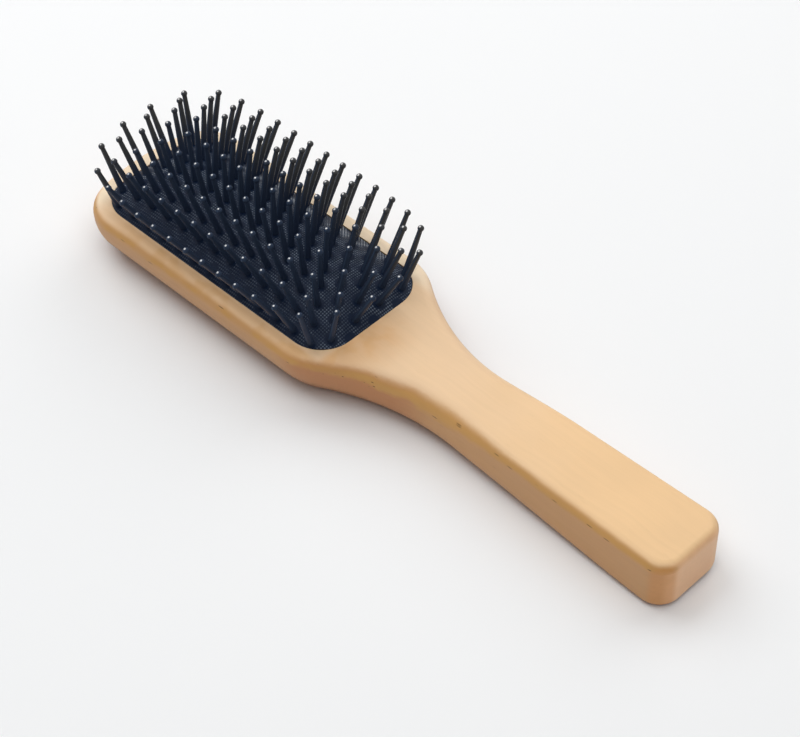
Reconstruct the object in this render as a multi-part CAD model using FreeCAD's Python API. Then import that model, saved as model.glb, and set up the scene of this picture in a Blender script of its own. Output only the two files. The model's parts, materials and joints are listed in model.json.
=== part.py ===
import FreeCAD, Part
import math
import os

# Cushion hair brush: a one-piece wooden body, a domed rubber cushion glued into
# the head, and columns of ball-tipped nylon pins that stand square to the dome.
# Millimetres. +X runs along the brush to the handle's end, +Y across it, +Z up,
# and the origin is under the middle of the body, on the surface it lies on.

# Wooden body
body_length = 216.0
body_thickness = 16.8
head_side_rim = 5.4
head_end_rim = 6.0
head_end_bow_radius = 75.0
head_corner_radius = 14.0
shoulder_lead = 11.2
shoulder_radius = 19.7
neck_radius = 67.0
neck_width = 22.8
handle_flare_degrees = 1.45
handle_corner_radius = 7.0
head_top_radius = 3.0
neck_top_radius = 5.5
neck_ease_length = 26.0
handle_top_radius = 3.2
handle_end_top_radius = 2.6
head_back_radius = 13.6
neck_back_radius = 7.6
handle_back_radius = 2.6
least_flat = 0.2

# Rubber cushion and the recess that holds it
pad_length = 93.5
pad_width = 42.2
pad_corner_radius = 10.5
pad_seat_clearance = 0.15
pad_sink = 0.3
rubber_thickness = 1.2
flange_width = 0.8
glue_thickness = 0.25
glue_setback = 0.35
chamber_depth = 6.0
dome_height = 7.6
dome_end_power = 4.5
dome_side_power = 2.0

# Nylon pins
pin_column_count = 9
long_column_pin_count = 14
pin_end_margin = 3.4
pin_side_margin = 2.4
pin_height = 17.4
pin_foot_radius = 0.9
pin_foot_thickness = 0.6
pin_foot_gap = 0.1
pin_waist_radius = 0.6
pin_base_gap = 0.05
pin_base_radius = 1.06
pin_neck_radius = 0.7
pin_ball_radius = 0.95
pin_hole_clearance = 0.06
pin_zones = ("head", "middle", "handle")

# Heights and places that follow from the sizes above
head_end_x = -body_length / 2
handle_end_x = body_length / 2
head_width = pad_width + 2 * head_side_rim
pad_centre_x = head_end_x + head_end_rim + pad_length / 2
pad_end_x = pad_centre_x + pad_length / 2
shoulder_start_x = pad_end_x - shoulder_lead
pad_rim_z = body_thickness - pad_sink
flange_bottom_z = pad_rim_z - rubber_thickness
ledge_z = flange_bottom_z - glue_thickness
chamber_floor_z = ledge_z - chamber_depth
pin_foot_depth = rubber_thickness + pin_foot_gap
pin_pitch_along = (pad_length - 2 * pin_end_margin) / (long_column_pin_count - 1)
pin_pitch_across = (pad_width - 2 * pin_side_margin) / (pin_column_count - 1)

# How far a cutting tool runs past the face it cuts, how close a place counts as
# the same place, and how many stations carry the dome's surface each way
overrun = 1.0
same_place = 1e-4
dome_station_count_along = 25
dome_station_count_across = 13

up = FreeCAD.Vector(0, 0, 1)


def point(x, y, z=0.0):
    return FreeCAD.Vector(x, y, z)


def line(start, end):
    return Part.LineSegment(start, end).toShape()


def arc(start, middle, end):
    return Part.Arc(start, middle, end).toShape()


def on_circle(centre, radius, angle):
    return point(centre.x + radius * math.cos(angle), centre.y + radius * math.sin(angle))


def mirrored(place):
    return point(place.x, -place.y, place.z)


def body_corners():
    """Corners and tangent points of one half of the body's plan, from the head's tip to the handle's end."""
    flare = math.radians(handle_flare_degrees)
    head_half = head_width / 2
    drop = head_half - neck_width / 2
    radii = shoulder_radius + neck_radius
    turn = math.acos((shoulder_radius + neck_radius * math.cos(flare) - drop) / radii)
    quarter = math.pi / 2

    shoulder_centre = point(shoulder_start_x, head_half - shoulder_radius)
    neck_centre = on_circle(shoulder_centre, radii, quarter - turn)
    neck_end = on_circle(neck_centre, neck_radius, flare - quarter)
    handle_half = neck_end.y + math.tan(flare) * (handle_end_x - neck_end.x)
    ease_half = neck_end.y + math.tan(flare) * neck_ease_length
    bow = head_end_bow_radius - math.sqrt(head_end_bow_radius ** 2 - head_half ** 2)
    return {
        "head_tip": point(head_end_x, 0),
        "head_corner": point(head_end_x + bow, head_half),
        "shoulder_top": on_circle(shoulder_centre, shoulder_radius, quarter),
        "shoulder_middle": on_circle(shoulder_centre, shoulder_radius, quarter - turn / 2),
        "shoulder_foot": on_circle(shoulder_centre, shoulder_radius, quarter - turn),
        "neck_middle": on_circle(neck_centre, neck_radius, (flare - turn) / 2 - quarter),
        "neck_end": neck_end,
        "handle_start": point(neck_end.x + neck_ease_length, ease_half),
        "handle_corner": point(handle_end_x, handle_half),
    }


def half_outline(place, side):
    """Edges of one long side of the plan, from the head's corner to the handle's corner."""
    at = {name: side(corner) for name, corner in place.items()}
    return [
        line(at["head_corner"], at["shoulder_top"]),
        arc(at["shoulder_top"], at["shoulder_middle"], at["shoulder_foot"]),
        arc(at["shoulder_foot"], at["neck_middle"], at["neck_end"]),
        line(at["neck_end"], at["handle_start"]),
        line(at["handle_start"], at["handle_corner"]),
    ]


def body_block(place):
    """The plan's outline as an upright block, its four upright corners rounded."""
    head_corner = place["head_corner"]
    handle_corner = place["handle_corner"]
    edges = half_outline(place, lambda corner: corner)
    edges.append(line(handle_corner, mirrored(handle_corner)))
    edges += half_outline(place, mirrored)
    edges.append(arc(mirrored(head_corner), place["head_tip"], head_corner))
    outline = Part.Wire(Part.__sortEdges__(edges))
    block = Part.Face(outline).extrude(up * body_thickness)
    block = block.makeFillet(head_corner_radius, upright_edges(block, head_corner.x))
    return block.makeFillet(handle_corner_radius, upright_edges(block, handle_corner.x))


def upright_edges(shape, x):
    def stands_at_x(edge):
        box = edge.BoundBox
        return box.ZLength > same_place and abs(box.XMin - x) < same_place and box.XLength < same_place

    return [edge for edge in shape.Edges if stands_at_x(edge)]


def eased(x, start, end):
    """Value at x on the straight run between two (x, value) pairs, level beyond them."""
    share = (x - start[0]) / (end[0] - start[0])
    return start[1] + min(max(share, 0.0), 1.0) * (end[1] - start[1])


def back_radius(x, place):
    """Rounding of the back's edge: large on the head, easing along the neck and handle, level round the end."""
    head_limit = min(body_thickness - head_top_radius, head_corner_radius) - least_flat
    neck_limit = body_thickness - neck_top_radius - least_flat
    shoulder = (place["shoulder_top"].x, min(head_back_radius, head_limit))
    neck = (place["neck_end"].x, min(neck_back_radius, neck_limit))
    handle = (handle_end_x - handle_corner_radius, min(handle_back_radius, handle_corner_radius - least_flat))
    if x < neck[0]:
        return eased(x, shoulder, neck)
    return eased(x, neck, handle)


def top_radius(x, place):
    """Rounding of the top's edge: the head's, easing to the neck's, the handle's and then its end's."""
    if x > handle_end_x - same_place:
        return min(handle_end_top_radius, handle_corner_radius - least_flat)
    shoulder = (place["shoulder_top"].x, head_top_radius)
    neck = (place["neck_end"].x, neck_top_radius)
    handle = (place["handle_start"].x, handle_top_radius)
    if x < neck[0]:
        return eased(x, shoulder, neck)
    return eased(x, neck, handle)


def round_edge(shape, z, radius_at):
    """Round the edge that runs round the body at a height, each stretch with the radius due at its two ends."""
    document = FreeCAD.newDocument("brush")
    base = document.addObject("Part::Feature", "block")
    base.Shape = shape
    rounded = document.addObject("Part::Fillet", "rounded")
    rounded.Base = base
    stretches = []
    for number, edge in enumerate(shape.Edges, start=1):
        if abs(edge.BoundBox.ZMin - z) < same_place and abs(edge.BoundBox.ZMax - z) < same_place:
            first = edge.Vertexes[0].Point.x
            last = edge.Vertexes[-1].Point.x
            stretches.append((number, radius_at(first), radius_at(last)))
    rounded.Edges = stretches
    document.recompute()
    result = rounded.Shape.copy()
    FreeCAD.closeDocument(document.Name)
    return result


def pad_block(margin, bottom_z, top_z):
    """Upright block on the pad's plan, grown by a margin (or drawn in, where the margin is negative)."""
    length = pad_length + 2 * margin
    width = pad_width + 2 * margin
    corner = point(pad_centre_x - length / 2, -width / 2, bottom_z)
    block = Part.makeBox(length, width, top_z - bottom_z, corner)
    uprights = [edge for edge in block.Edges if edge.BoundBox.ZLength > same_place]
    return block.makeFillet(pad_corner_radius + margin, uprights)


def wooden_body():
    place = body_corners()
    wood = round_edge(body_block(place), 0.0, lambda x: back_radius(x, place))
    wood = round_edge(wood, body_thickness, lambda x: top_radius(x, place))
    seat = pad_block(pad_seat_clearance, ledge_z, body_thickness + overrun)
    chamber = pad_block(-flange_width, chamber_floor_z, body_thickness + overrun)
    return wood.cut([seat, chamber])


def glue_bead():
    """Ring of glue on the ledge, under the cushion's flange and set back from its inner edge."""
    ring = pad_block(pad_seat_clearance, ledge_z, flange_bottom_z)
    inside = pad_block(glue_setback - flange_width, ledge_z - overrun, flange_bottom_z + overrun)
    return ring.cut(inside)


def dome_share(offset, half, power):
    return 1 - abs(offset / half) ** power


def dome_slope(offset, half, power):
    return -math.copysign(power / half * abs(offset / half) ** (power - 1), offset)


def dome_z(x, y):
    """Height of the cushion's outer face: a rounded crown across, flat along with rounded ends."""
    along = dome_share(x - pad_centre_x, pad_length / 2, dome_end_power)
    across = dome_share(y, pad_width / 2, dome_side_power)
    return pad_rim_z + dome_height * along * across


def dome_normal(x, y):
    along = dome_share(x - pad_centre_x, pad_length / 2, dome_end_power)
    across = dome_share(y, pad_width / 2, dome_side_power)
    slope_x = dome_height * across * dome_slope(x - pad_centre_x, pad_length / 2, dome_end_power)
    slope_y = dome_height * along * dome_slope(y, pad_width / 2, dome_side_power)
    return point(-slope_x, -slope_y, 1).normalize()


def evenly(low, high, count):
    return [low + (high - low) * step / (count - 1) for step in range(count)]


def below_dome(lowered):
    """Everything from well under the rim up to the dome's face, lowered by the given amount."""
    half_length = pad_length / 2 + overrun
    half_width = pad_width / 2 + overrun
    rows = []
    for x in evenly(pad_centre_x - half_length, pad_centre_x + half_length, dome_station_count_along):
        stations = evenly(-half_width, half_width, dome_station_count_across)
        rows.append([point(x, y, dome_z(x, y) - lowered) for y in stations])
    surface = Part.BSplineSurface()
    surface.interpolate(rows)
    depth = dome_height + rubber_thickness + lowered + overrun
    return surface.toShape().extrude(-up * depth)


def rubber_cushion(pins):
    """Domed sheet with a flat flange, and a snug hole for each pin."""
    reach = pad_rim_z + dome_height + overrun
    outside = pad_block(0, flange_bottom_z, reach).common(below_dome(0))
    hollow = pad_block(-flange_width, flange_bottom_z - overrun, reach).common(below_dome(rubber_thickness))
    sheet = outside.cut(hollow)
    return sheet.cut([pin_hole(x, y) for column in pins for x, y in column])


def pin_places():
    """Roots of the pins by column: long and short columns by turns, staggered by half a pitch."""
    columns = []
    for number in range(pin_column_count):
        y = (number - (pin_column_count - 1) / 2) * pin_pitch_across
        count = long_column_pin_count - (number + 1) % 2
        first = pad_centre_x - (count - 1) / 2 * pin_pitch_along
        columns.append([(first + step * pin_pitch_along, y) for step in range(count)])
    return columns


def stand_on_dome(shape, x, y):
    root = point(x, y, dome_z(x, y))
    shape.Placement = FreeCAD.Placement(root, FreeCAD.Rotation(up, dome_normal(x, y)))
    return shape


def pin_hole(x, y):
    reach = pin_foot_depth + overrun
    radius = pin_waist_radius + pin_hole_clearance
    return stand_on_dome(Part.makeCylinder(radius, 2 * reach, -up * reach), x, y)


def pin_solid():
    """One pin standing on its root: flat foot, thin waist, tapered shank and ball tip, turned about its axis."""
    foot_bottom = -pin_foot_depth - pin_foot_thickness
    ball_z = pin_height - pin_ball_radius
    neck_z = ball_z - math.sqrt(pin_ball_radius ** 2 - pin_neck_radius ** 2)
    profile = [
        point(0, 0, foot_bottom),
        point(pin_foot_radius, 0, foot_bottom),
        point(pin_foot_radius, 0, -pin_foot_depth),
        point(pin_waist_radius, 0, -pin_foot_depth),
        point(pin_waist_radius, 0, pin_base_gap),
        point(pin_base_radius, 0, pin_base_gap),
        point(pin_neck_radius, 0, neck_z),
    ]
    tip = point(0, 0, pin_height)
    edges = [line(start, end) for start, end in zip(profile, profile[1:])]
    edges.append(arc(profile[-1], point(pin_ball_radius, 0, ball_z), tip))
    edges.append(line(tip, profile[0]))
    return Part.Face(Part.Wire(edges)).revolve(point(0, 0), up, 360)


def zone_of(step, count):
    return pin_zones[step * len(pin_zones) // count]


def pin_groups(pins):
    """The pins of each column, as separate solids grouped by the zone of the head they stand in."""
    pin = pin_solid()
    groups = {}
    for number, column in enumerate(pins, start=1):
        for step, (x, y) in enumerate(column):
            name = f"column_{number}_{zone_of(step, len(column))}_pins"
            groups.setdefault(name, []).append(stand_on_dome(pin.copy(), x, y))
    return {name: Part.makeCompound(solids) for name, solids in groups.items()}


def main():
    pins = pin_places()
    nodes = {
        "wooden_body": wooden_body(),
        "glue_bead": glue_bead(),
        "rubber_cushion": rubber_cushion(pins),
    }
    nodes.update(pin_groups(pins))
    os.makedirs("parts", exist_ok=True)
    for name, shape in nodes.items():
        shape.exportStep(f"parts/{name}.step")
        print(name, len(shape.Solids), round(shape.Volume, 3), shape.isValid())


main()
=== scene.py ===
"""Dresses a wooden cushion hair brush in beech, woven rubber and black nylon, on a pale floor."""

import json
import math

import bpy
import numpy as np
from mathutils import Matrix, Vector

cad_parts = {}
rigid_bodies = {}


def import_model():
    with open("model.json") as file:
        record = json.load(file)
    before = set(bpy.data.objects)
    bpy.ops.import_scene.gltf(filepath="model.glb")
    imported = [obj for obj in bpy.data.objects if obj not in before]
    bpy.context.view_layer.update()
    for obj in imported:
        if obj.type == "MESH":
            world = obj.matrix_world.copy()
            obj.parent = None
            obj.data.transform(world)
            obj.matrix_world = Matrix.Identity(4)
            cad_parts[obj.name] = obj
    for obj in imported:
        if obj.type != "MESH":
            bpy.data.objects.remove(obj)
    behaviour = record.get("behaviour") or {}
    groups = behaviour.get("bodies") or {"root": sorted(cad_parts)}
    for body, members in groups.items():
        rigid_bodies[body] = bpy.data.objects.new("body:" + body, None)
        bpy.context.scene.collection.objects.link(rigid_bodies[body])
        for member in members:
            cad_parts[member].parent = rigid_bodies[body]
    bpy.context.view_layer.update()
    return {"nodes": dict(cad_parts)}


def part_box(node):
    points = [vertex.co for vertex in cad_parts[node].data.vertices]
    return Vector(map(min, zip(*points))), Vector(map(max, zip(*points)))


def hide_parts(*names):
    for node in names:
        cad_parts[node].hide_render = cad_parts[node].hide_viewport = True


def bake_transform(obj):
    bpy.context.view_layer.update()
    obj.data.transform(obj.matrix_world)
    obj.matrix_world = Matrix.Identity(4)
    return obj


bl_info = {
    "name": "Cushion hair brush",
    "version": (1, 0, 0),
    "blender": (4, 5, 0),
    "location": "View3D > Sidebar > Hair brush",
    "description": "Builds the woven rubber pad and the finishes of a wooden cushion hair brush",
    "category": "Object",
}

for leftover in list(bpy.data.objects):
    bpy.data.objects.remove(leftover)

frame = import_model()
_, wood_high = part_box("wooden_body")
pad_low, pad_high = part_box("rubber_cushion")
pad_middle = (pad_low + pad_high) / 2
pad_half_length = (pad_high.x - pad_low.x) / 2
pad_half_width = (pad_high.y - pad_low.y) / 2
pin_nodes = sorted(name for name in frame["nodes"] if name.endswith("_pins"))

SIDEBAR_TAB = "Hair brush"
UNLISTED_PROPERTIES = ("rna_type", "name")
LENGTH_DIGITS = 5

# Grid of the pad's skin, and the angle past which an edge stays sharp
ARC_STEPS = 24
STRAIGHT_STEPS = 60
LONG_STEPS = 240
ROW_CROWDING = 0.9
CREASE_ANGLE = math.radians(40)

# Nearest distance that the camera sees, in metres
CLIP_START = 0.01

# Noises and masks
SOFT_DETAIL = 2.0
FINE_DETAIL = 3.0
NOISE_MIDDLE = 0.5
CHANCE_STEP = 0.02  # width of the step between cells with a blot and cells without
OFF_ZERO = 0.001  # keeps a divisor off zero
HALF_STEP = 0.5

# Sockets of a Mix node that are for colours, by number because other sockets share their names
MIX_FACTOR = 0
MIX_FIRST = 6
MIX_SECOND = 7
MIX_RESULT = 2

# Wood: limits by the way it faces, where a turn of 0 is a level face and a turn of 1 is an upright one
LEVEL_TURN = (0.03, 0.42)
EDGE_TURN = ((0.1, 0.5), (0.65, 0.95))
RIDGE_TURN = ((0.1, 0.3), (0.5, 0.9))
FLECK_TURN = ((0.2, 0.35), (0.8, 0.95))
NEAR_FACING = (0.0, -0.5)
FAR_FACING = (0.0, 0.5)
HANDLE_END_FACING = (0.1, 0.5)
CORNER_FACING = (-0.12, -0.4)
END_SHARE = (0.4, 0.85)
BACK_RISE = (-0.99, -0.9)
SHADE_RISE = (-0.6, -0.3)
UNDERSIDE_RISE = (-0.6, -0.75)

# Wood: limits by place, in metres
HEAD_END = (pad_high.x - 0.006, pad_high.x + 0.012)
NEAR_RIM = (pad_low.y + 0.0005, pad_low.y - 0.0015)
NEAR_RIM_START = (pad_low.x - 0.004, pad_low.x + 0.028)
FAR_RIM = (pad_high.y - 0.004, pad_high.y)
HEAD_RIM = (pad_low.x + 0.006, pad_low.x)
# Painted shade of the pins on the wood past the pad's end: its run along the brush and its side
PIN_SHADE_RUN = ((pad_high.x - 0.002, pad_high.x + 0.001), (pad_high.x + 0.003, pad_high.x + 0.017))
PIN_SHADE_SIDE = (0.01, -0.004)
NECK_RUN = ((pad_high.x - 0.0155, pad_high.x - 0.0035), (pad_high.x + 0.0185, pad_high.x + 0.0345))
WARM_RUN = (pad_high.x + 0.0085, wood_high.x - 0.018)
CORNER_RUN = (wood_high.x - 0.058, wood_high.x - 0.008)

# Wood: streak widths that a bend moves a streak, and metres that it moves the start of the warm colour
STREAK_BENDS = 3
WARM_BENDS = 0.04

# Wood: radius of a fleck in its cell of side 1, and the share of the cells that have one
FLECK_RADIUS = 0.2
FLECK_SHARE = 0.5

# Wood: limits of the patches in their noise, what shows between them, and how weak the far edges are
PATCH_STEP = (-0.1, 0.1)
RIM_LEAST = 0.6
PIN_SHADE_LEAST = 0.65
EDGE_GAPS = 0.7
FAR_EDGE_CUT = 0.6

# Rubber: limits by the weave and by the way the dome faces
# Painted light and shade on the weave: limits of its patches in their noise
LIGHT_PATCH_STEP = (-0.08, 0.1)
RIB_STEP = (0.5, 0.9)
DOT_STEP = (0.4, 0.8)
FAR_GLINT_FACING = (0.4, 0.54)
HEAD_GLINT_FACING = (-0.12, -0.4)
NEAR_SLOPE_FACING = (-0.15, -0.5)
NEAR_SLOPE_CUT = 0.55
WEAVE_LEAST = 0.35

# Nylon: limits by the way a pin faces, and by place in metres
# Painted highlight on the balls: limits by the way the surface faces
HIGHLIGHT_TOWARD = (0.89, 0.96)
# Painted reflection line down the near side of each pin: limits by facing and height
REFLECTION_LINE_SHARE = (0.9, 0.98)
REFLECTION_LINE_FACING = (-0.2, -0.4)
REFLECTION_LINE_TOP = (0.5, 0.7)
FAR_PINS = (0.002, pad_high.y - 0.004)
HEAD_PINS = (pad_low.x + 0.016, pad_low.x + 0.002)


# Properties by kind, for the groups of settings below
def length_property(name, description, default):
    return bpy.props.FloatProperty(
        name=name, description=description, default=default, unit="LENGTH", precision=LENGTH_DIGITS
    )


def colour_property(name, description, default):
    return bpy.props.FloatVectorProperty(
        name=name, description=description, default=default, subtype="COLOR", size=3, min=0.0, max=1.0
    )


def share_property(name, description, default):
    return bpy.props.FloatProperty(
        name=name, description=description, default=default, subtype="FACTOR", min=0.0, max=1.0
    )


def number_property(name, description, default):
    return bpy.props.FloatProperty(name=name, description=description, default=default, min=0.0)


def count_property(name, description, default):
    return bpy.props.IntProperty(name=name, description=description, default=default, min=1)


def power_property(name, description, default):
    return bpy.props.FloatProperty(
        name=name, description=description, default=default, unit="POWER", min=0.0
    )


def angle_property(name, description, default):
    return bpy.props.FloatProperty(name=name, description=description, default=default, subtype="ANGLE")


def place_property(name, description, default):
    return bpy.props.FloatVectorProperty(name=name, description=description, default=default, subtype="XYZ")


class WoodSettings(bpy.types.PropertyGroup):
    """Colours and grain of the beech body."""

    face_colour: colour_property("Face colour", "Sanded beech on the top and the back", (0.82, 0.57, 0.345))
    warm_colour: colour_property("Warm colour", "Beech towards the handle's end", (0.835, 0.55, 0.285))
    # Painted shade: the darker golden rim along the pad's near side, in patches
    rim_colour: colour_property("Rim colour", "Rim along the pad's near side", (0.71, 0.42, 0.19))
    # Painted light: the rims past the pad's far side and head, paler because they face the lamps
    pale_colour: colour_property("Pale colour", "Rim past the pad's far side and head", (0.94, 0.75, 0.53))
    # Painted shade: orange shade of the pins on the neck past the pad's end
    pin_shade_colour: colour_property("Stain colour", "Orange stain past the pad's end", (0.74, 0.40, 0.155))
    # Partly painted shade: the sides are browner than the faces partly because they get less light
    side_colour: colour_property("Side colour", "Beech on the upright sides", (0.60, 0.325, 0.14))
    neck_colour: colour_property("Neck colour", "Redder sides of the neck", (0.53, 0.235, 0.095))
    # Painted shade: dark brown where the sides turn under towards the floor
    low_shade_colour: colour_property("Low colour", "Beech where the sides turn under", (0.24, 0.09, 0.025))
    under_colour: colour_property("Under colour", "Sides where they meet the back", (0.46, 0.17, 0.035))
    # Painted shade: the golden band on the rounding of the near top edge, weak on the far side
    edge_colour: colour_property("Edge colour", "Golden band on the near top edge", (0.60, 0.32, 0.10))
    corner_colour: colour_property("Corner colour", "Upright corner of the handle", (0.66, 0.29, 0.09))
    end_colour: colour_property("End grain colour", "Beech cut across the grain", (0.90, 0.54, 0.305))
    fleck_colour: colour_property("Fleck colour", "Short dark ray flecks", (0.14, 0.062, 0.02))
    streak_length: length_property("Streak length", "How far a grain streak runs along the brush", 0.03)
    streak_width: length_property("Streak width", "Width of a grain streak", 0.0011)
    bend_size: length_property("Bend size", "Size of the bends in the streaks", 0.016)
    fleck_length: length_property("Fleck length", "Spacing of the ray flecks along the brush", 0.007)
    fleck_width: length_property("Fleck width", "Spacing of the ray flecks across it", 0.0009)
    ripple_length: length_property("Ripple length", "Length of the waves in the golden band", 0.009)
    # The patches break up the painted shade on the near rim, in the edge band and past the pad's end
    patch_size: length_property("Patch size", "Size of the golden patches on the near rim", 0.007)
    mottle_size: length_property("Mottle size", "Size of the soft pale and dark patches", 0.026667)
    grain_depth: length_property("Grain depth", "Depth of the open grain", 0.00004)
    fleck_depth: share_property("Fleck depth", "Depth of a fleck as a share of the grain's", 0.5)
    fleck_strength: share_property("Fleck strength", "Darkness of the flecks in the golden band", 0.8)
    face_fleck_strength: share_property("Face fleck strength", "Darkness of the flecks elsewhere", 0.04)
    # Strength of the painted shade of the pins past the pad's end
    pin_shade_strength: share_property("Stain strength", "Strength of the stain past the pad's end", 0.75)
    # A weak share of the edge band's painted shade on the top edge of the handle's end
    ridge_strength: share_property("Ridge strength", "Gold on the top edge of the handle's end", 0.15)
    corner_strength: share_property("Corner strength", "Strength of the upright corner's colour", 0.6)
    streak_tone: share_property("Streak tone", "How much the streaks change the tone", 0.08)
    mottle_tone: share_property("Mottle tone", "How much the soft patches change the tone", 0.15)
    roughness: share_property("Roughness", "Roughness of the sanded wood", 0.5)
    roughness_swing: share_property("Roughness swing", "How much the patches change the roughness", 0.2)


class PadSettings(bpy.types.PropertyGroup):
    """Shape and finish of the domed rubber pad."""

    corner_radius: length_property("Corner radius", "Rounding of the pad's corners in plan", 0.0105)
    rubber_thickness: length_property("Rubber thickness", "Height of the flat edge under the dome", 0.0012)
    skin_thickness: length_property("Skin thickness", "Thickness of the domed skin", 0.0009)
    flange_width: length_property("Flange width", "Width of the flat edge on the ledge", 0.0008)
    end_power: number_property("End power", "How squarely the dome falls at its two ends", 4.5)
    side_power: number_property("Side power", "How squarely the dome falls at its two sides", 2.0)
    press_band: length_property("Press band", "Height of dome that stretches when it is pressed", 0.0042)
    pin_end_margin: length_property("Pin end margin", "Pad's end to the first pin of a long column", 0.0034)
    pin_gaps: count_property("Pin gaps", "Gaps between the pins of a long column", 13)
    pin_side_margin: length_property("Pin side margin", "Pad's side to the first column", 0.0024)
    column_gaps: count_property("Column gaps", "Gaps between the columns of pins", 8)
    # The rings round the pins are painted shade: the dots are left out there, so the rubber is dark and
    # smooth
    shade_ring_radius: length_property("Collar radius", "Radius of the smooth rubber round a pin", 0.0016)
    shade_ring_fade: length_property("Collar fade", "Width over which the weave comes in past a collar", 0.0007)
    weave_pitch: length_property("Weave pitch", "Distance from one moulded dot to the next", 0.000757)
    weave_depth: length_property("Weave depth", "Height of the moulded dots", 0.00016)
    # Painted light and shade: patches where the dots are lighter, between darker ones
    light_patch_size: length_property("Wear size", "Size of the patches where the weave shows more", 0.004)
    dark_colour: colour_property("Dark colour", "Rubber between the dots", (0.001, 0.009, 0.032))
    dot_colour: colour_property("Dot colour", "Rubber on top of the dots", (0.18, 0.222, 0.285))
    glint_colour: colour_property("Glint colour", "Weave that shines on steep slopes", (0.32, 0.345, 0.38))
    gloss: share_property("Gloss", "Strength of the rubber's reflections", 0.2)
    roughness: share_property("Roughness", "Roughness of the rubber", 0.4)
    roughness_swing: share_property("Roughness swing", "How much the patches change the roughness", 0.16)
    hollow_roughness: share_property("Hollow roughness", "Added roughness between the dots", 0.1)


class PinSettings(bpy.types.PropertyGroup):
    """Finish of the nylon pins."""

    colour: colour_property("Colour", "Black nylon", (0.029, 0.043, 0.074))
    # Painted shade: the nylon close to the pad, darker than the painted grey light above it
    low_shade_colour: colour_property("Low colour", "Nylon close to the pad", (0.029, 0.044, 0.082))
    # Painted light: grey on the far and head-end pins, where they catch light against the floor
    lit_grey_colour: colour_property("Worn colour", "Bloom on far and head-end pins", (0.068, 0.068, 0.069))
    # Painted reflection: a thin light line down the near side of each pin
    reflection_line_colour: colour_property("Seam colour", "Mould seam down the near side", (0.045, 0.07, 0.12))
    reflection_line_strength: share_property("Seam strength", "Strength of the seam's colour", 0.8)
    low_start: length_property("Low start", "Height over the pad where the low colour fades", 0.002)
    low_band: length_property("Low band", "Height over the pad where the low colour ends", 0.013)
    # The patches vary the roughness and the painted grey light on the far and head-end pins
    sheen_patch_size: length_property("Bloom size", "Size of the faint patches in the gloss", 0.003)
    lit_grey_swing: share_property("Bloom swing", "How much the patches change the grey bloom", 0.6)
    roughness: share_property("Roughness", "Roughness of the moulded nylon", 0.15)
    roughness_swing: share_property("Roughness swing", "How much the patches change the roughness", 0.12)
    gloss: share_property("Gloss", "Strength of the nylon's reflections", 0.04)
    # Painted highlight: the coat on the balls lies only where they face this way, where the highlight shows
    highlight_facing: place_property("Tip facing", "Way that the shine on a ball faces", (-0.14, -0.36, 0.92))
    # The polish is a strong coat placed to make the painted highlight
    tip_coat_index: number_property("Tip polish", "Refractive index of the polish on the balls", 4.0)
    tip_roughness: share_property("Tip roughness", "Roughness of the polish on the balls", 0.36)


class GlueSettings(bpy.types.PropertyGroup):
    """Finish of the glue under the pad's edge."""

    colour: colour_property("Colour", "Dried contact glue", (0.45, 0.34, 0.20))
    pale_colour: colour_property("Pale colour", "Thin places in the glue", (0.60, 0.50, 0.34))
    patch_size: length_property("Patch size", "Size of the thin places", 0.002)
    roughness: share_property("Roughness", "Roughness of the glue", 0.45)
    roughness_swing: share_property("Roughness swing", "How much the patches change the roughness", 0.2)


class StageSettings(bpy.types.PropertyGroup):
    """Floor, light and camera."""

    floor_colour: colour_property("Floor colour", "Plain pale floor", (0.893, 0.90, 0.906))
    floor_roughness: share_property("Floor roughness", "Roughness of the floor", 0.9)
    floor_size: length_property("Floor size", "Side of the square floor", 8.0)
    sky_colour: colour_property("Sky colour", "Soft light from all round", (1.0, 1.0, 1.0))
    sky_strength: number_property("Sky strength", "Strength of the light from all round", 0.14)
    left_power: power_property("Left power", "Power of the light beyond the head", 7.8)
    left_size: length_property("Left size", "Side of the light beyond the head", 1.0)
    left_place: place_property("Left place", "Where the light beyond the head stands", (-0.7, 0.0, 0.9))
    back_power: power_property("Back power", "Power of the light behind the brush", 5.5)
    back_size: length_property("Back size", "Side of the light behind the brush", 1.0)
    back_place: place_property("Back place", "Where the light behind the brush stands", (-0.1, 0.9, 0.8))
    top_power: power_property("Top power", "Power of the light overhead", 5.8)
    top_size: length_property("Top size", "Side of the light overhead", 1.0)
    top_place: place_property("Top place", "Where the light overhead hangs", (0.4, -0.3, 1.1))
    camera_turn: angle_property(
        "Camera turn", "Turn of the camera from the near side towards the handle", math.radians(44.115)
    )
    camera_height: angle_property(
        "Camera height", "Angle of the camera above the floor", math.radians(47.087)
    )
    camera_distance: length_property("Camera distance", "From the camera to the point it looks at", 0.70803)
    camera_target: place_property(
        "Camera target", "Point that the camera looks at", (-0.00169, 0.00282, 0.00048)
    )
    camera_lens: bpy.props.FloatProperty(
        name="Lens", description="Focal length for a 36 mm wide sensor", default=112.5, unit="CAMERA"
    )


class Value:
    """A shader socket that takes part in Python arithmetic: each operation adds a Math node."""

    def __init__(self, shader, socket):
        self.shader = shader
        self.socket = socket

    def __add__(self, other):
        return self.shader.math("ADD", self, other)

    def __sub__(self, other):
        return self.shader.math("SUBTRACT", self, other)

    def __mul__(self, other):
        return self.shader.math("MULTIPLY", self, other)

    def __truediv__(self, other):
        return self.shader.math("DIVIDE", self, other)

    def __radd__(self, other):
        return self.shader.math("ADD", other, self)

    def __rsub__(self, other):
        return self.shader.math("SUBTRACT", other, self)

    def __rmul__(self, other):
        return self.shader.math("MULTIPLY", other, self)

    def __rtruediv__(self, other):
        return self.shader.math("DIVIDE", other, self)


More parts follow.
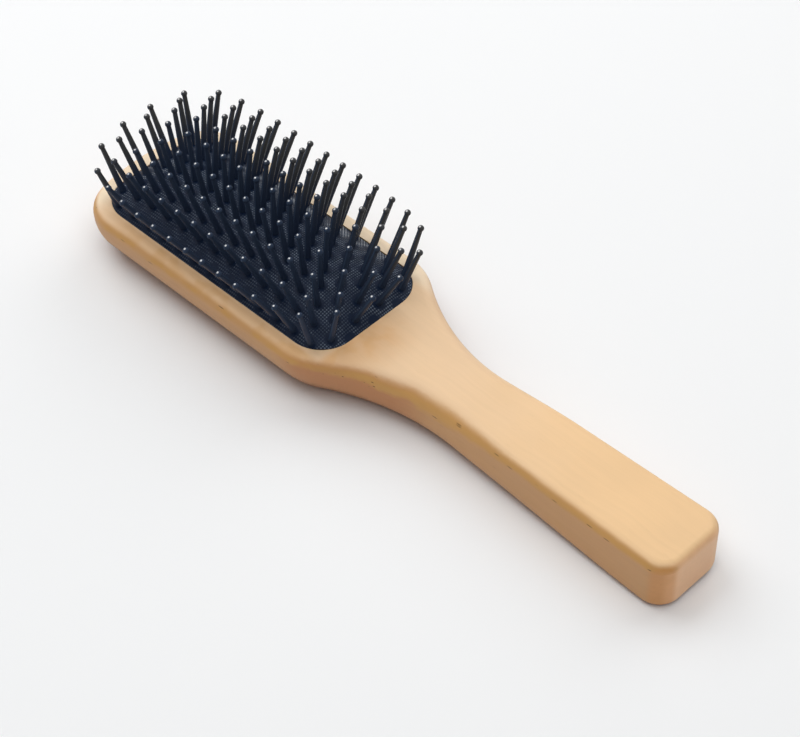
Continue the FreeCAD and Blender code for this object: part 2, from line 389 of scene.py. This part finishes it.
class Shader:
    """A material's node tree, built from expressions on its sockets.

    x, y and z are the shaded point's place. end_on, across and rise are the parts of the way its surface
    faces: towards the handle's end, towards the far side and up."""

    def __init__(self, name):
        self.material = bpy.data.materials.new(name)
        self.material.use_nodes = True
        self.tree = self.material.node_tree
        self.tree.nodes.clear()
        coordinates = self.node("ShaderNodeTexCoord", {}, {})
        self.place = Value(self, coordinates.outputs["Object"])
        self.facing = Value(self, coordinates.outputs["Normal"])
        self.x, self.y, self.z = self.parts(self.place)
        self.end_on, self.across, self.rise = self.parts(self.facing)

    def node(self, kind, settings, inputs):
        """Add a node of this kind, apply its settings, then fill or link its sockets."""
        made = self.tree.nodes.new(kind)
        for setting, value in settings.items():
            setattr(made, setting, value)
        for socket, value in inputs.items():
            if isinstance(value, Value):
                self.tree.links.new(value.socket, made.inputs[socket])
            else:
                made.inputs[socket].default_value = value
        return made

    def math(self, operation, first, second=0.0):
        """A Math node's result."""
        made = self.node("ShaderNodeMath", {"operation": operation}, {0: first, 1: second})
        return Value(self, made.outputs[0])

    def parts(self, vector):
        """The three numbers of a vector."""
        made = self.node("ShaderNodeSeparateXYZ", {}, {0: vector})
        return [Value(self, output) for output in made.outputs]

    def vector(self, x, y, z):
        """A vector of three numbers."""
        made = self.node("ShaderNodeCombineXYZ", {}, {0: x, 1: y, 2: z})
        return Value(self, made.outputs[0])

    def toward(self, direction):
        """How squarely the surface faces a direction: 1 where it faces straight that way."""
        inputs = {0: self.facing, 1: direction}
        made = self.node("ShaderNodeVectorMath", {"operation": "DOT_PRODUCT"}, inputs)
        return Value(self, made.outputs["Value"])

    def smooth(self, value, start, end):
        """A smooth step: 0 up to the start, 1 from the end on. The end may lie below the start."""
        settings = {"interpolation_type": "SMOOTHSTEP"}
        inputs = {"Value": value, "From Min": start, "From Max": end}
        made = self.node("ShaderNodeMapRange", settings, inputs)
        return Value(self, made.outputs["Result"])

    def band(self, value, rising, falling):
        """1 between two smooth steps: up over the first pair of limits, down over the second."""
        return self.smooth(value, *rising) * (1 - self.smooth(value, *falling))

    def wave(self, value, length):
        """A sine between 0 and 1 that repeats after this length."""
        return (self.math("SINE", value * (2 * math.pi / length)) + 1) / 2

    def square_share(self, first, second):
        """The share that the first has in the sum of both squares."""
        first_square = first * first
        return first_square / (first_square + second * second + OFF_ZERO)

    def noise(self, vector, detail, size=1.0):
        """Soft noise about 0, with waves of this size."""
        inputs = {"Vector": vector, "Scale": 1 / size, "Detail": detail}
        made = self.node("ShaderNodeTexNoise", {}, inputs)
        return Value(self, made.outputs[0]) - NOISE_MIDDLE

    def dashes(self, vector, radius, share):
        """One soft blot in each of a share of the vector's unit cells."""
        made = self.node("ShaderNodeTexVoronoi", {}, {"Vector": vector, "Scale": 1.0})
        blot = 1 - self.smooth(Value(self, made.outputs["Distance"]), radius / 2, radius)
        chance = self.parts(Value(self, made.outputs["Color"]))[0]
        return blot * self.smooth(chance, 1 - share, 1 - share + CHANCE_STEP)

    def mix(self, factor, first, second):
        """Colour that goes from the first to the second as the factor goes from 0 to 1."""
        inputs = {MIX_FACTOR: factor, MIX_FIRST: colour_value(first), MIX_SECOND: colour_value(second)}
        made = self.node("ShaderNodeMix", {"data_type": "RGBA"}, inputs)
        return Value(self, made.outputs[MIX_RESULT])

    def scaled(self, colour, factor):
        """The colour made lighter or darker by a number."""
        made = self.node("ShaderNodeVectorMath", {"operation": "SCALE"}, {0: colour, "Scale": factor})
        return Value(self, made.outputs[0])

    def bump(self, height, depth):
        """Normals of a surface raised by the height, where a height of 1 stands up by the depth."""
        made = self.node("ShaderNodeBump", {}, {"Height": height, "Distance": depth, "Strength": 1.0})
        return Value(self, made.outputs[0])

    def surface(self, inputs):
        """The principled surface with these sockets, joined to the material's output."""
        principled = self.node("ShaderNodeBsdfPrincipled", {}, inputs)
        output = self.node("ShaderNodeOutputMaterial", {}, {})
        self.tree.links.new(principled.outputs[0], output.inputs[0])
        return self.material


def colour_value(colour):
    """A colour for a socket: a linked value as it is, three numbers with full opacity."""
    if isinstance(colour, Value):
        return colour
    return (*colour, 1.0)


def at_least(least, mask):
    """The mask with its range of 0 to 1 drawn up to run from the least value to 1."""
    return least + mask * (1 - least)


def wood_grain(shader, settings):
    """The bends of the grain, its streaks along the brush, and short dashes for the ray flecks."""
    bends = shader.noise(shader.place, SOFT_DETAIL, settings.bend_size)
    side_step = bends * settings.streak_width * STREAK_BENDS
    streak_place = shader.vector(
        shader.x / settings.streak_length,
        (shader.y + side_step) / settings.streak_width,
        shader.z / settings.streak_width,
    )
    fleck_place = shader.vector(
        shader.x / settings.fleck_length,
        shader.y / settings.fleck_width,
        shader.z / settings.fleck_width,
    )
    streaks = shader.noise(streak_place, FINE_DETAIL)
    dashes = shader.dashes(fleck_place, FLECK_RADIUS, FLECK_SHARE)
    return bends, streaks, dashes


def wood_face(shader, settings, bends, patches, head):
    """Colour of the top and the back: warm on the handle, painted light (pale) or painted shade (golden)
    round the pad, painted shade of the pins past it.
    """
    warm = shader.smooth(shader.x + bends * WARM_BENDS, *WARM_RUN)
    far_rim = shader.smooth(shader.y, *FAR_RIM)
    head_rim = shader.smooth(shader.x, *HEAD_RIM)
    # Painted light on the rims past the pad's far side and head
    pale = shader.math("MAXIMUM", far_rim, head_rim) * head
    beside_pad = shader.smooth(shader.y, *NEAR_RIM) * shader.smooth(shader.x, *NEAR_RIM_START)
    # Painted shade on the near rim beside the pad, in patches
    near_rim = beside_pad * head * at_least(RIM_LEAST, patches)
    # Painted shade of the pins past the pad's end, in patches
    past_pad = shader.band(shader.x, *PIN_SHADE_RUN) * shader.smooth(shader.y, *PIN_SHADE_SIDE)
    pin_shade = past_pad * at_least(PIN_SHADE_LEAST, patches)
    face = shader.mix(warm, settings.face_colour, settings.warm_colour)
    face = shader.mix(pale, face, settings.pale_colour)
    face = shader.mix(near_rim, face, settings.rim_colour)
    return shader.mix(pin_shade * settings.pin_shade_strength, face, settings.pin_shade_colour)


def wood_side(shader, settings):
    """Colour of the sides: redder along the neck, end grain at both ends, painted shade where they turn
    under.
    """
    beside_neck = shader.band(shader.x, *NECK_RUN)
    ends = shader.smooth(shader.square_share(shader.end_on, shader.across), *END_SHARE)
    side = shader.mix(beside_neck, settings.side_colour, settings.neck_colour)
    side = shader.mix(ends, side, settings.end_colour)
    # Painted shade where the sides turn under
    side = shader.mix(shader.smooth(shader.rise, *SHADE_RISE), settings.low_shade_colour, side)
    return shader.mix(shader.smooth(shader.rise, *UNDERSIDE_RISE), side, settings.under_colour)


def beech(settings):
    """Sanded beech: pale faces, browner sides that are partly painted shade, a wavy golden band of painted
    shade with dark flecks on the near top edge.
    """
    shader = Shader("beech_body")
    bends, streaks, dashes = wood_grain(shader, settings)
    mottle = shader.noise(shader.place, FINE_DETAIL, settings.mottle_size)
    ripple = shader.noise(shader.place, FINE_DETAIL, settings.ripple_length)
    patches = shader.smooth(shader.noise(shader.place, SOFT_DETAIL, settings.patch_size), *PATCH_STEP)

    near = shader.smooth(shader.across, *NEAR_FACING)
    far = shader.smooth(shader.across, *FAR_FACING)
    turned = (1 - shader.rise) * (1 + ripple) * (1 - far * FAR_EDGE_CUT)
    level = 1 - shader.smooth(turned, *LEVEL_TURN)
    back = 1 - shader.smooth(shader.rise, *BACK_RISE)
    head = 1 - shader.smooth(shader.x, *HEAD_END)
    # Painted shade on the rounding of the near top edge, with gaps in patches at the head
    edge = shader.band(turned, *EDGE_TURN) * near * (1 - head * (1 - patches) * EDGE_GAPS)
    ridge = shader.band(turned, *RIDGE_TURN) * shader.smooth(shader.end_on, *HANDLE_END_FACING)
    corner = shader.smooth(shader.end_on * shader.across, *CORNER_FACING)
    corner = corner * shader.smooth(shader.x, *CORNER_RUN)
    flecks = dashes * shader.band(turned, *FLECK_TURN) * near

    face = wood_face(shader, settings, bends, patches, head)
    # Sides browner than the faces: partly the beech's own colour, partly painted shade
    colour = shader.mix(level + back, wood_side(shader, settings), face)
    colour = shader.mix(edge, colour, settings.edge_colour)
    # A weak share of the same painted shade on the top edge of the handle's end
    colour = shader.mix(ridge * settings.ridge_strength, colour, settings.edge_colour)
    colour = shader.mix(corner * settings.corner_strength, colour, settings.corner_colour)
    darkened = flecks * settings.fleck_strength + dashes * settings.face_fleck_strength
    colour = shader.mix(darkened, colour, settings.fleck_colour)
    tone = 1 + streaks * settings.streak_tone + mottle * settings.mottle_tone
    return shader.surface(
        {
            "Base Color": shader.scaled(colour, tone),
            "Roughness": settings.roughness + mottle * settings.roughness_swing,
            "Normal": shader.bump(streaks - flecks * settings.fleck_depth, settings.grain_depth),
        }
    )


def pin_shade_rings(shader, settings):
    """Share of smooth rubber round the pins, which stands in for their shade as painted shade, from the
    distance to the nearest point of a staggered grid.

    The grid repeats with every pin along the brush and with every second column across it, and a second
    grid lies half a step on both ways."""
    pin_step = 2 * (pad_half_length - settings.pin_end_margin) / settings.pin_gaps
    column_step = 2 * (pad_half_width - settings.pin_side_margin) / settings.column_gaps
    pair_step = 2 * column_step
    spans = []
    for shift in (0.0, HALF_STEP):
        pin_place = (shader.x - pad_middle.x) / pin_step + shift
        pair_place = shader.y / pair_step + shift
        along = shader.math("PINGPONG", pin_place, HALF_STEP) * pin_step
        across = shader.math("PINGPONG", pair_place, HALF_STEP) * pair_step
        spans.append(along * along + across * across)
    nearest = shader.math("SQRT", shader.math("MINIMUM", *spans))
    return shader.smooth(nearest, settings.shade_ring_radius + settings.shade_ring_fade, settings.shade_ring_radius)


def woven_rubber(settings):
    """Navy-black rubber with moulded dots in rows along and across the brush, smooth and dark round the
    pins as painted shade, with painted light and shade in patches on the dots.
    """
    shader = Shader("woven_rubber")
    pitch = settings.weave_pitch
    rows = shader.wave(shader.x, pitch) * shader.wave(shader.y, pitch)
    ribs = shader.wave(shader.x + shader.y, pitch * math.sqrt(2))
    # Painted shade round the pins: no dots there
    dots = rows * (1 - pin_shade_rings(shader, settings))
    light_and_roughness_noise = shader.noise(shader.place, FINE_DETAIL, settings.light_patch_size)
    patches = shader.smooth(light_and_roughness_noise, *LIGHT_PATCH_STEP)
    far_glints = shader.smooth(ribs, *RIB_STEP) * shader.smooth(shader.across, *FAR_GLINT_FACING)
    head_glints = shader.smooth(dots, *DOT_STEP) * shader.smooth(shader.end_on, *HEAD_GLINT_FACING)
    near_slope = shader.smooth(shader.across, *NEAR_SLOPE_FACING)
    # Painted light and shade: the dots are lighter in patches and dimmer on the near slope
    shown = at_least(WEAVE_LEAST, patches) * (1 - near_slope * NEAR_SLOPE_CUT)
    colour = shader.mix(dots * shown, settings.dark_colour, settings.dot_colour)
    colour = shader.mix((far_glints + head_glints) * patches, colour, settings.glint_colour)
    roughness = settings.roughness + light_and_roughness_noise * settings.roughness_swing
    return shader.surface(
        {
            "Base Color": colour,
            "Roughness": roughness + (1 - dots) * settings.hollow_roughness,
            "Specular IOR Level": settings.gloss,
            "Normal": shader.bump(dots, settings.weave_depth),
        }
    )


def rim_height(settings):
    """Height at which the pad's flat edge ends and its dome starts."""
    return pad_low.z + settings.rubber_thickness


def dome_level(shader, settings):
    """The dome's height at the shaded point, as dome_height gives it, level with the rim beyond the pad."""
    rim = rim_height(settings)
    out_along = shader.math("ABSOLUTE", (shader.x - pad_middle.x) / pad_half_length)
    out_across = shader.math("ABSOLUTE", (shader.y - pad_middle.y) / pad_half_width)
    along = shader.math("MAXIMUM", 1 - shader.math("POWER", out_along, settings.end_power), 0.0)
    across = shader.math("MAXIMUM", 1 - shader.math("POWER", out_across, settings.side_power), 0.0)
    return along * across * (pad_high.z - rim) + rim


def painted_reflection_line(shader):
    """A painted reflection: a thin upright line on the near side of each pin, up to the top of its ball."""
    line = shader.smooth(shader.square_share(shader.across, shader.end_on), *REFLECTION_LINE_SHARE)
    below_top = 1 - shader.smooth(shader.rise, *REFLECTION_LINE_TOP)
    return line * shader.smooth(shader.across, *REFLECTION_LINE_FACING) * below_top


def black_nylon(settings, pad_settings):
    """Black nylon, bluer near the pad, with painted grey light on the far and head-end pins, painted shade
    near the pad, a painted reflection line down the near side, and a coat on top of each ball that paints a
    highlight.
    """
    shader = Shader("black_nylon")
    sheen_patches = shader.noise(shader.place, SOFT_DETAIL, settings.sheen_patch_size)
    far_pins = shader.smooth(shader.y, *FAR_PINS)
    head_pins = shader.smooth(shader.x, *HEAD_PINS)
    # Painted light in grey on the far and head-end pins, in patches
    lit_pins = shader.math("MAXIMUM", far_pins, head_pins) * (1 + sheen_patches * settings.lit_grey_swing)
    lift = shader.z - dome_level(shader, pad_settings)
    # Painted shade close to the pad, fading out higher up the pins
    raised = shader.smooth(lift, settings.low_start, settings.low_band)
    shank = shader.mix(lit_pins, settings.colour, settings.lit_grey_colour)
    shank = shader.mix(raised, settings.low_shade_colour, shank)
    # Painted reflection line down the near side of each pin
    reflection_line = painted_reflection_line(shader) * settings.reflection_line_strength
    return shader.surface(
        {
            "Base Color": shader.mix(reflection_line, shank, settings.reflection_line_colour),
            "Roughness": settings.roughness + sheen_patches * settings.roughness_swing,
            "Specular IOR Level": settings.gloss,
            # Painted highlight: a strong coat only where the balls face the highlight's way
            "Coat Weight": shader.smooth(shader.toward(settings.highlight_facing), *HIGHLIGHT_TOWARD),
            "Coat IOR": settings.tip_coat_index,
            "Coat Roughness": settings.tip_roughness,
        }
    )


def dried_glue(settings):
    """Amber glue, paler where it lies thin."""
    shader = Shader("dried_glue")
    patches = shader.noise(shader.place, SOFT_DETAIL, settings.patch_size)
    return shader.surface(
        {
            "Base Color": shader.mix(patches + NOISE_MIDDLE, settings.colour, settings.pale_colour),
            "Roughness": settings.roughness + patches * settings.roughness_swing,
        }
    )


def pale_floor(settings):
    """A plain matt floor."""
    floor_colour = colour_value(settings.floor_colour)
    return Shader("pale_floor").surface({"Base Color": floor_colour, "Roughness": settings.floor_roughness})


def dress(node_name, material):
    """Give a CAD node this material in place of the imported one."""
    mesh = frame["nodes"][node_name].data
    mesh.materials.clear()
    mesh.materials.append(material)


def pad_rows(half_width, corner):
    """Offsets across the pad, even along its rounded corners and along the straight between them."""
    quarter = np.linspace(0.0, math.pi / 2, ARC_STEPS + 1)
    arc = half_width - corner + corner * np.sin(quarter)
    straight = np.linspace(corner - half_width, half_width - corner, STRAIGHT_STEPS + 1)
    return np.concatenate([-arc[:0:-1], straight, arc[1:]])


def pad_plan(margin, settings):
    """Plan of the pad drawn in by a margin, as a grid: each row runs between the two rounded ends.

    With half length a, half width b and corner radius r, the row at y reaches
    a - r + sqrt(r^2 - max(|y| - (b - r), 0)^2) to either side of the middle. Along a row the points lie
    at the sines of even angles, closer together towards the ends."""
    half_length = pad_half_length - margin
    half_width = pad_half_width - margin
    corner = settings.corner_radius - margin
    y = pad_rows(half_width, corner)
    past_corner = np.clip(np.abs(y) - (half_width - corner), 0.0, corner)
    reach = half_length - corner + np.sqrt(corner**2 - past_corner**2)
    last_angle = math.pi / 2 * ROW_CROWDING
    share = np.sin(np.linspace(-1.0, 1.0, LONG_STEPS + 1) * last_angle) / math.sin(last_angle)
    x = share[None, :] * reach[:, None]
    return np.stack([x, np.broadcast_to(y[:, None], x.shape)], axis=-1)


def dome_height(plan, settings):
    """Height of the dome: rim + h (1 - |x / a|^p) (1 - |y / b|^q), with the two powers of the settings."""
    rim = rim_height(settings)
    along = 1 - np.abs(plan[..., 0] / pad_half_length) ** settings.end_power
    across = 1 - np.abs(plan[..., 1] / pad_half_width) ** settings.side_power
    return rim + (pad_high.z - rim) * along * across


def grid_indices(rows, columns, start):
    """Indices of a grid's points, one row after another."""
    return start + np.arange(rows * columns).reshape(rows, columns)


def grid_faces(rows, columns, start=0):
    """Quads of a grid of points, wound so that they face up."""
    index = grid_indices(rows, columns, start)
    corners = [index[:-1, :-1], index[:-1, 1:], index[1:, 1:], index[1:, :-1]]
    return np.stack([corner.ravel() for corner in corners], axis=-1)


def grid_rim(rows, columns, start=0):
    """Indices round the edge of a grid, once round in the direction its faces are wound."""
    index = grid_indices(rows, columns, start)
    return np.concatenate([index[0, :-1], index[:-1, -1], index[-1, :0:-1], index[:0:-1, 0]])


def strip_faces(upper, lower):
    """Quads between two closed loops of points, facing out where the loops run the way of grid_rim."""
    return np.stack([lower, np.roll(lower, -1), np.roll(upper, -1), upper], axis=-1)


def pad_shell(settings):
    """Points and quads of the pad: domed skin, flat edge round it, and the hollow underside of the dome."""
    outer_plan = pad_plan(0.0, settings)
    inner_plan = pad_plan(settings.flange_width, settings)
    rows, columns = outer_plan.shape[:2]
    outer = np.dstack([outer_plan, dome_height(outer_plan, settings)]).reshape(-1, 3)
    inner_height = dome_height(inner_plan, settings) - settings.skin_thickness
    inner = np.dstack([inner_plan, inner_height]).reshape(-1, 3)

    rim = grid_rim(rows, columns)
    wall_foot = outer[rim] * (1, 1, 0) + (0, 0, pad_low.z)
    ledge = inner[rim] * (1, 1, 0) + (0, 0, pad_low.z)
    points = np.concatenate([outer, inner, wall_foot, ledge]) + (pad_middle.x, pad_middle.y, 0)

    inner_start = len(outer)
    wall_loop = 2 * inner_start + np.arange(len(rim))
    ledge_loop = wall_loop + len(rim)
    inner_rim = grid_rim(rows, columns, inner_start)
    faces = np.concatenate(
        [
            grid_faces(rows, columns),
            grid_faces(rows, columns, inner_start)[:, ::-1],
            strip_faces(rim, wall_loop),
            strip_faces(wall_loop, ledge_loop),
            strip_faces(ledge_loop, inner_rim),
        ]
    )
    return points, faces


def mesh_object(name, points, faces, material):
    """A smooth-shaded object at the origin from arrays of points and quads, creased past an angle."""
    mesh = bpy.data.meshes.new(name)
    mesh.from_pydata(points, [], faces)
    mesh.update()
    mesh.shade_smooth()
    mesh.set_sharp_from_angle(angle=CREASE_ANGLE)
    mesh.materials.append(material)
    piece = bpy.data.objects.new(name, mesh)
    bpy.context.scene.collection.objects.link(piece)
    return piece


def aimed(back, place):
    """Placement that looks against the back direction, level with the floor."""
    back = back.normalized()
    right = Vector((0, 0, 1)).cross(back).normalized()
    up = back.cross(right)
    turn = Matrix((right, up, back)).transposed()
    return Matrix.Translation(place) @ turn.to_4x4()


def soft_light(name, place, size, power):
    """A square area light aimed at the brush."""
    light = bpy.data.lights.new(name, "AREA")
    light.energy = power
    light.size = size
    lamp = bpy.data.objects.new(name, light)
    lamp.matrix_world = aimed(Vector(place), Vector(place))
    bpy.context.scene.collection.objects.link(lamp)


class BRUSH_OT_finish_wood(bpy.types.Operator):
    """Give the wooden body its beech"""

    bl_idname = "brush.finish_wood"
    bl_label = "Finish the wood"

    def execute(self, context):
        dress("wooden_body", beech(context.scene.brush_wood))
        return {"FINISHED"}


class BRUSH_OT_finish_glue(bpy.types.Operator):
    """Give the glue under the pad's edge its finish"""

    bl_idname = "brush.finish_glue"
    bl_label = "Finish the glue"

    def execute(self, context):
        dress("glue_bead", dried_glue(context.scene.brush_glue))
        return {"FINISHED"}


class BRUSH_OT_make_pad(bpy.types.Operator):
    """Build the domed rubber pad with its moulded weave"""

    bl_idname = "brush.make_pad"
    bl_label = "Make the rubber pad"

    def execute(self, context):
        settings = context.scene.brush_pad
        points, faces = pad_shell(settings)
        pad = mesh_object("woven_pad", points, faces, woven_rubber(settings))
        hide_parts("rubber_cushion")
        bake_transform(pad)
        return {"FINISHED"}


class BRUSH_OT_finish_pins(bpy.types.Operator):
    """Give the pins their black nylon"""

    bl_idname = "brush.finish_pins"
    bl_label = "Finish the pins"

    def execute(self, context):
        nylon = black_nylon(context.scene.brush_pins, context.scene.brush_pad)
        for name in pin_nodes:
            dress(name, nylon)
        return {"FINISHED"}


class BRUSH_OT_set_stage(bpy.types.Operator):
    """Set the floor, the lights and the camera"""

    bl_idname = "brush.set_stage"
    bl_label = "Set the stage"

    def execute(self, context):
        settings = context.scene.brush_stage
        self.lay_floor(settings)
        self.set_sky(context.scene, settings)
        soft_light("left_light", settings.left_place, settings.left_size, settings.left_power)
        soft_light("back_light", settings.back_place, settings.back_size, settings.back_power)
        soft_light("top_light", settings.top_place, settings.top_size, settings.top_power)
        self.set_camera(context.scene, settings)
        context.scene.view_settings.view_transform = "Standard"
        return {"FINISHED"}

    def lay_floor(self, settings):
        """A level square at the height of the brush's back."""
        half = settings.floor_size / 2
        corners = np.array([(-half, -half, 0), (half, -half, 0), (half, half, 0), (-half, half, 0)])
        floor = mesh_object("floor", corners, np.array([(0, 1, 2, 3)]), pale_floor(settings))

    def set_sky(self, scene, settings):
        """Even light from all round."""
        world = bpy.data.worlds.new("soft_sky")
        world.use_nodes = True
        sky = world.node_tree.nodes["Background"]
        sky.inputs["Color"].default_value = colour_value(settings.sky_colour)
        sky.inputs["Strength"].default_value = settings.sky_strength
        scene.world = world

    def set_camera(self, scene, settings):
        """A camera at its distance from the target, turned and raised by the two angles."""
        level = math.cos(settings.camera_height)
        back = Vector(
            (
                math.sin(settings.camera_turn) * level,
                -math.cos(settings.camera_turn) * level,
                math.sin(settings.camera_height),
            )
        )
        lens = bpy.data.cameras.new("photo_camera")
        lens.sensor_fit = "HORIZONTAL"
        lens.lens = settings.camera_lens
        lens.clip_start = CLIP_START
        camera = bpy.data.objects.new("photo_camera", lens)
        camera.matrix_world = aimed(back, Vector(settings.camera_target) + back * settings.camera_distance)
        scene.collection.objects.link(camera)
        scene.camera = camera


class BRUSH_PT_sidebar(bpy.types.Panel):
    """Lists the brush's sizes, colours and operators"""

    bl_label = "Cushion hair brush"
    bl_space_type = "VIEW_3D"
    bl_region_type = "UI"
    bl_category = SIDEBAR_TAB

    def draw(self, context):
        for pointer, operator in PANEL_GROUPS.items():
            box = self.layout.box()
            settings = getattr(context.scene, pointer)
            for name in settings.bl_rna.properties.keys():
                if name not in UNLISTED_PROPERTIES:
                    box.prop(settings, name)
            box.operator(operator)


SETTINGS = {
    "brush_wood": WoodSettings,
    "brush_glue": GlueSettings,
    "brush_pad": PadSettings,
    "brush_pins": PinSettings,
    "brush_stage": StageSettings,
}
PANEL_GROUPS = {
    "brush_wood": "brush.finish_wood",
    "brush_glue": "brush.finish_glue",
    "brush_pad": "brush.make_pad",
    "brush_pins": "brush.finish_pins",
    "brush_stage": "brush.set_stage",
}
CLASSES = [
    *SETTINGS.values(),
    BRUSH_OT_finish_wood,
    BRUSH_OT_finish_glue,
    BRUSH_OT_make_pad,
    BRUSH_OT_finish_pins,
    BRUSH_OT_set_stage,
    BRUSH_PT_sidebar,
]


def register():
    """Add the classes and their settings to the session."""
    for made in CLASSES:
        bpy.utils.register_class(made)
    for pointer, settings in SETTINGS.items():
        setattr(bpy.types.Scene, pointer, bpy.props.PointerProperty(type=settings))


def unregister():
    """Take the settings and the classes away again."""
    for pointer in SETTINGS:
        delattr(bpy.types.Scene, pointer)
    for made in reversed(CLASSES):
        bpy.utils.unregister_class(made)


def main():
    """Dress the brush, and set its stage."""
    register()
    bpy.ops.brush.finish_wood()
    bpy.ops.brush.finish_glue()
    bpy.ops.brush.make_pad()
    bpy.ops.brush.finish_pins()
    bpy.ops.brush.set_stage()


if __name__ == "__main__":
    main()
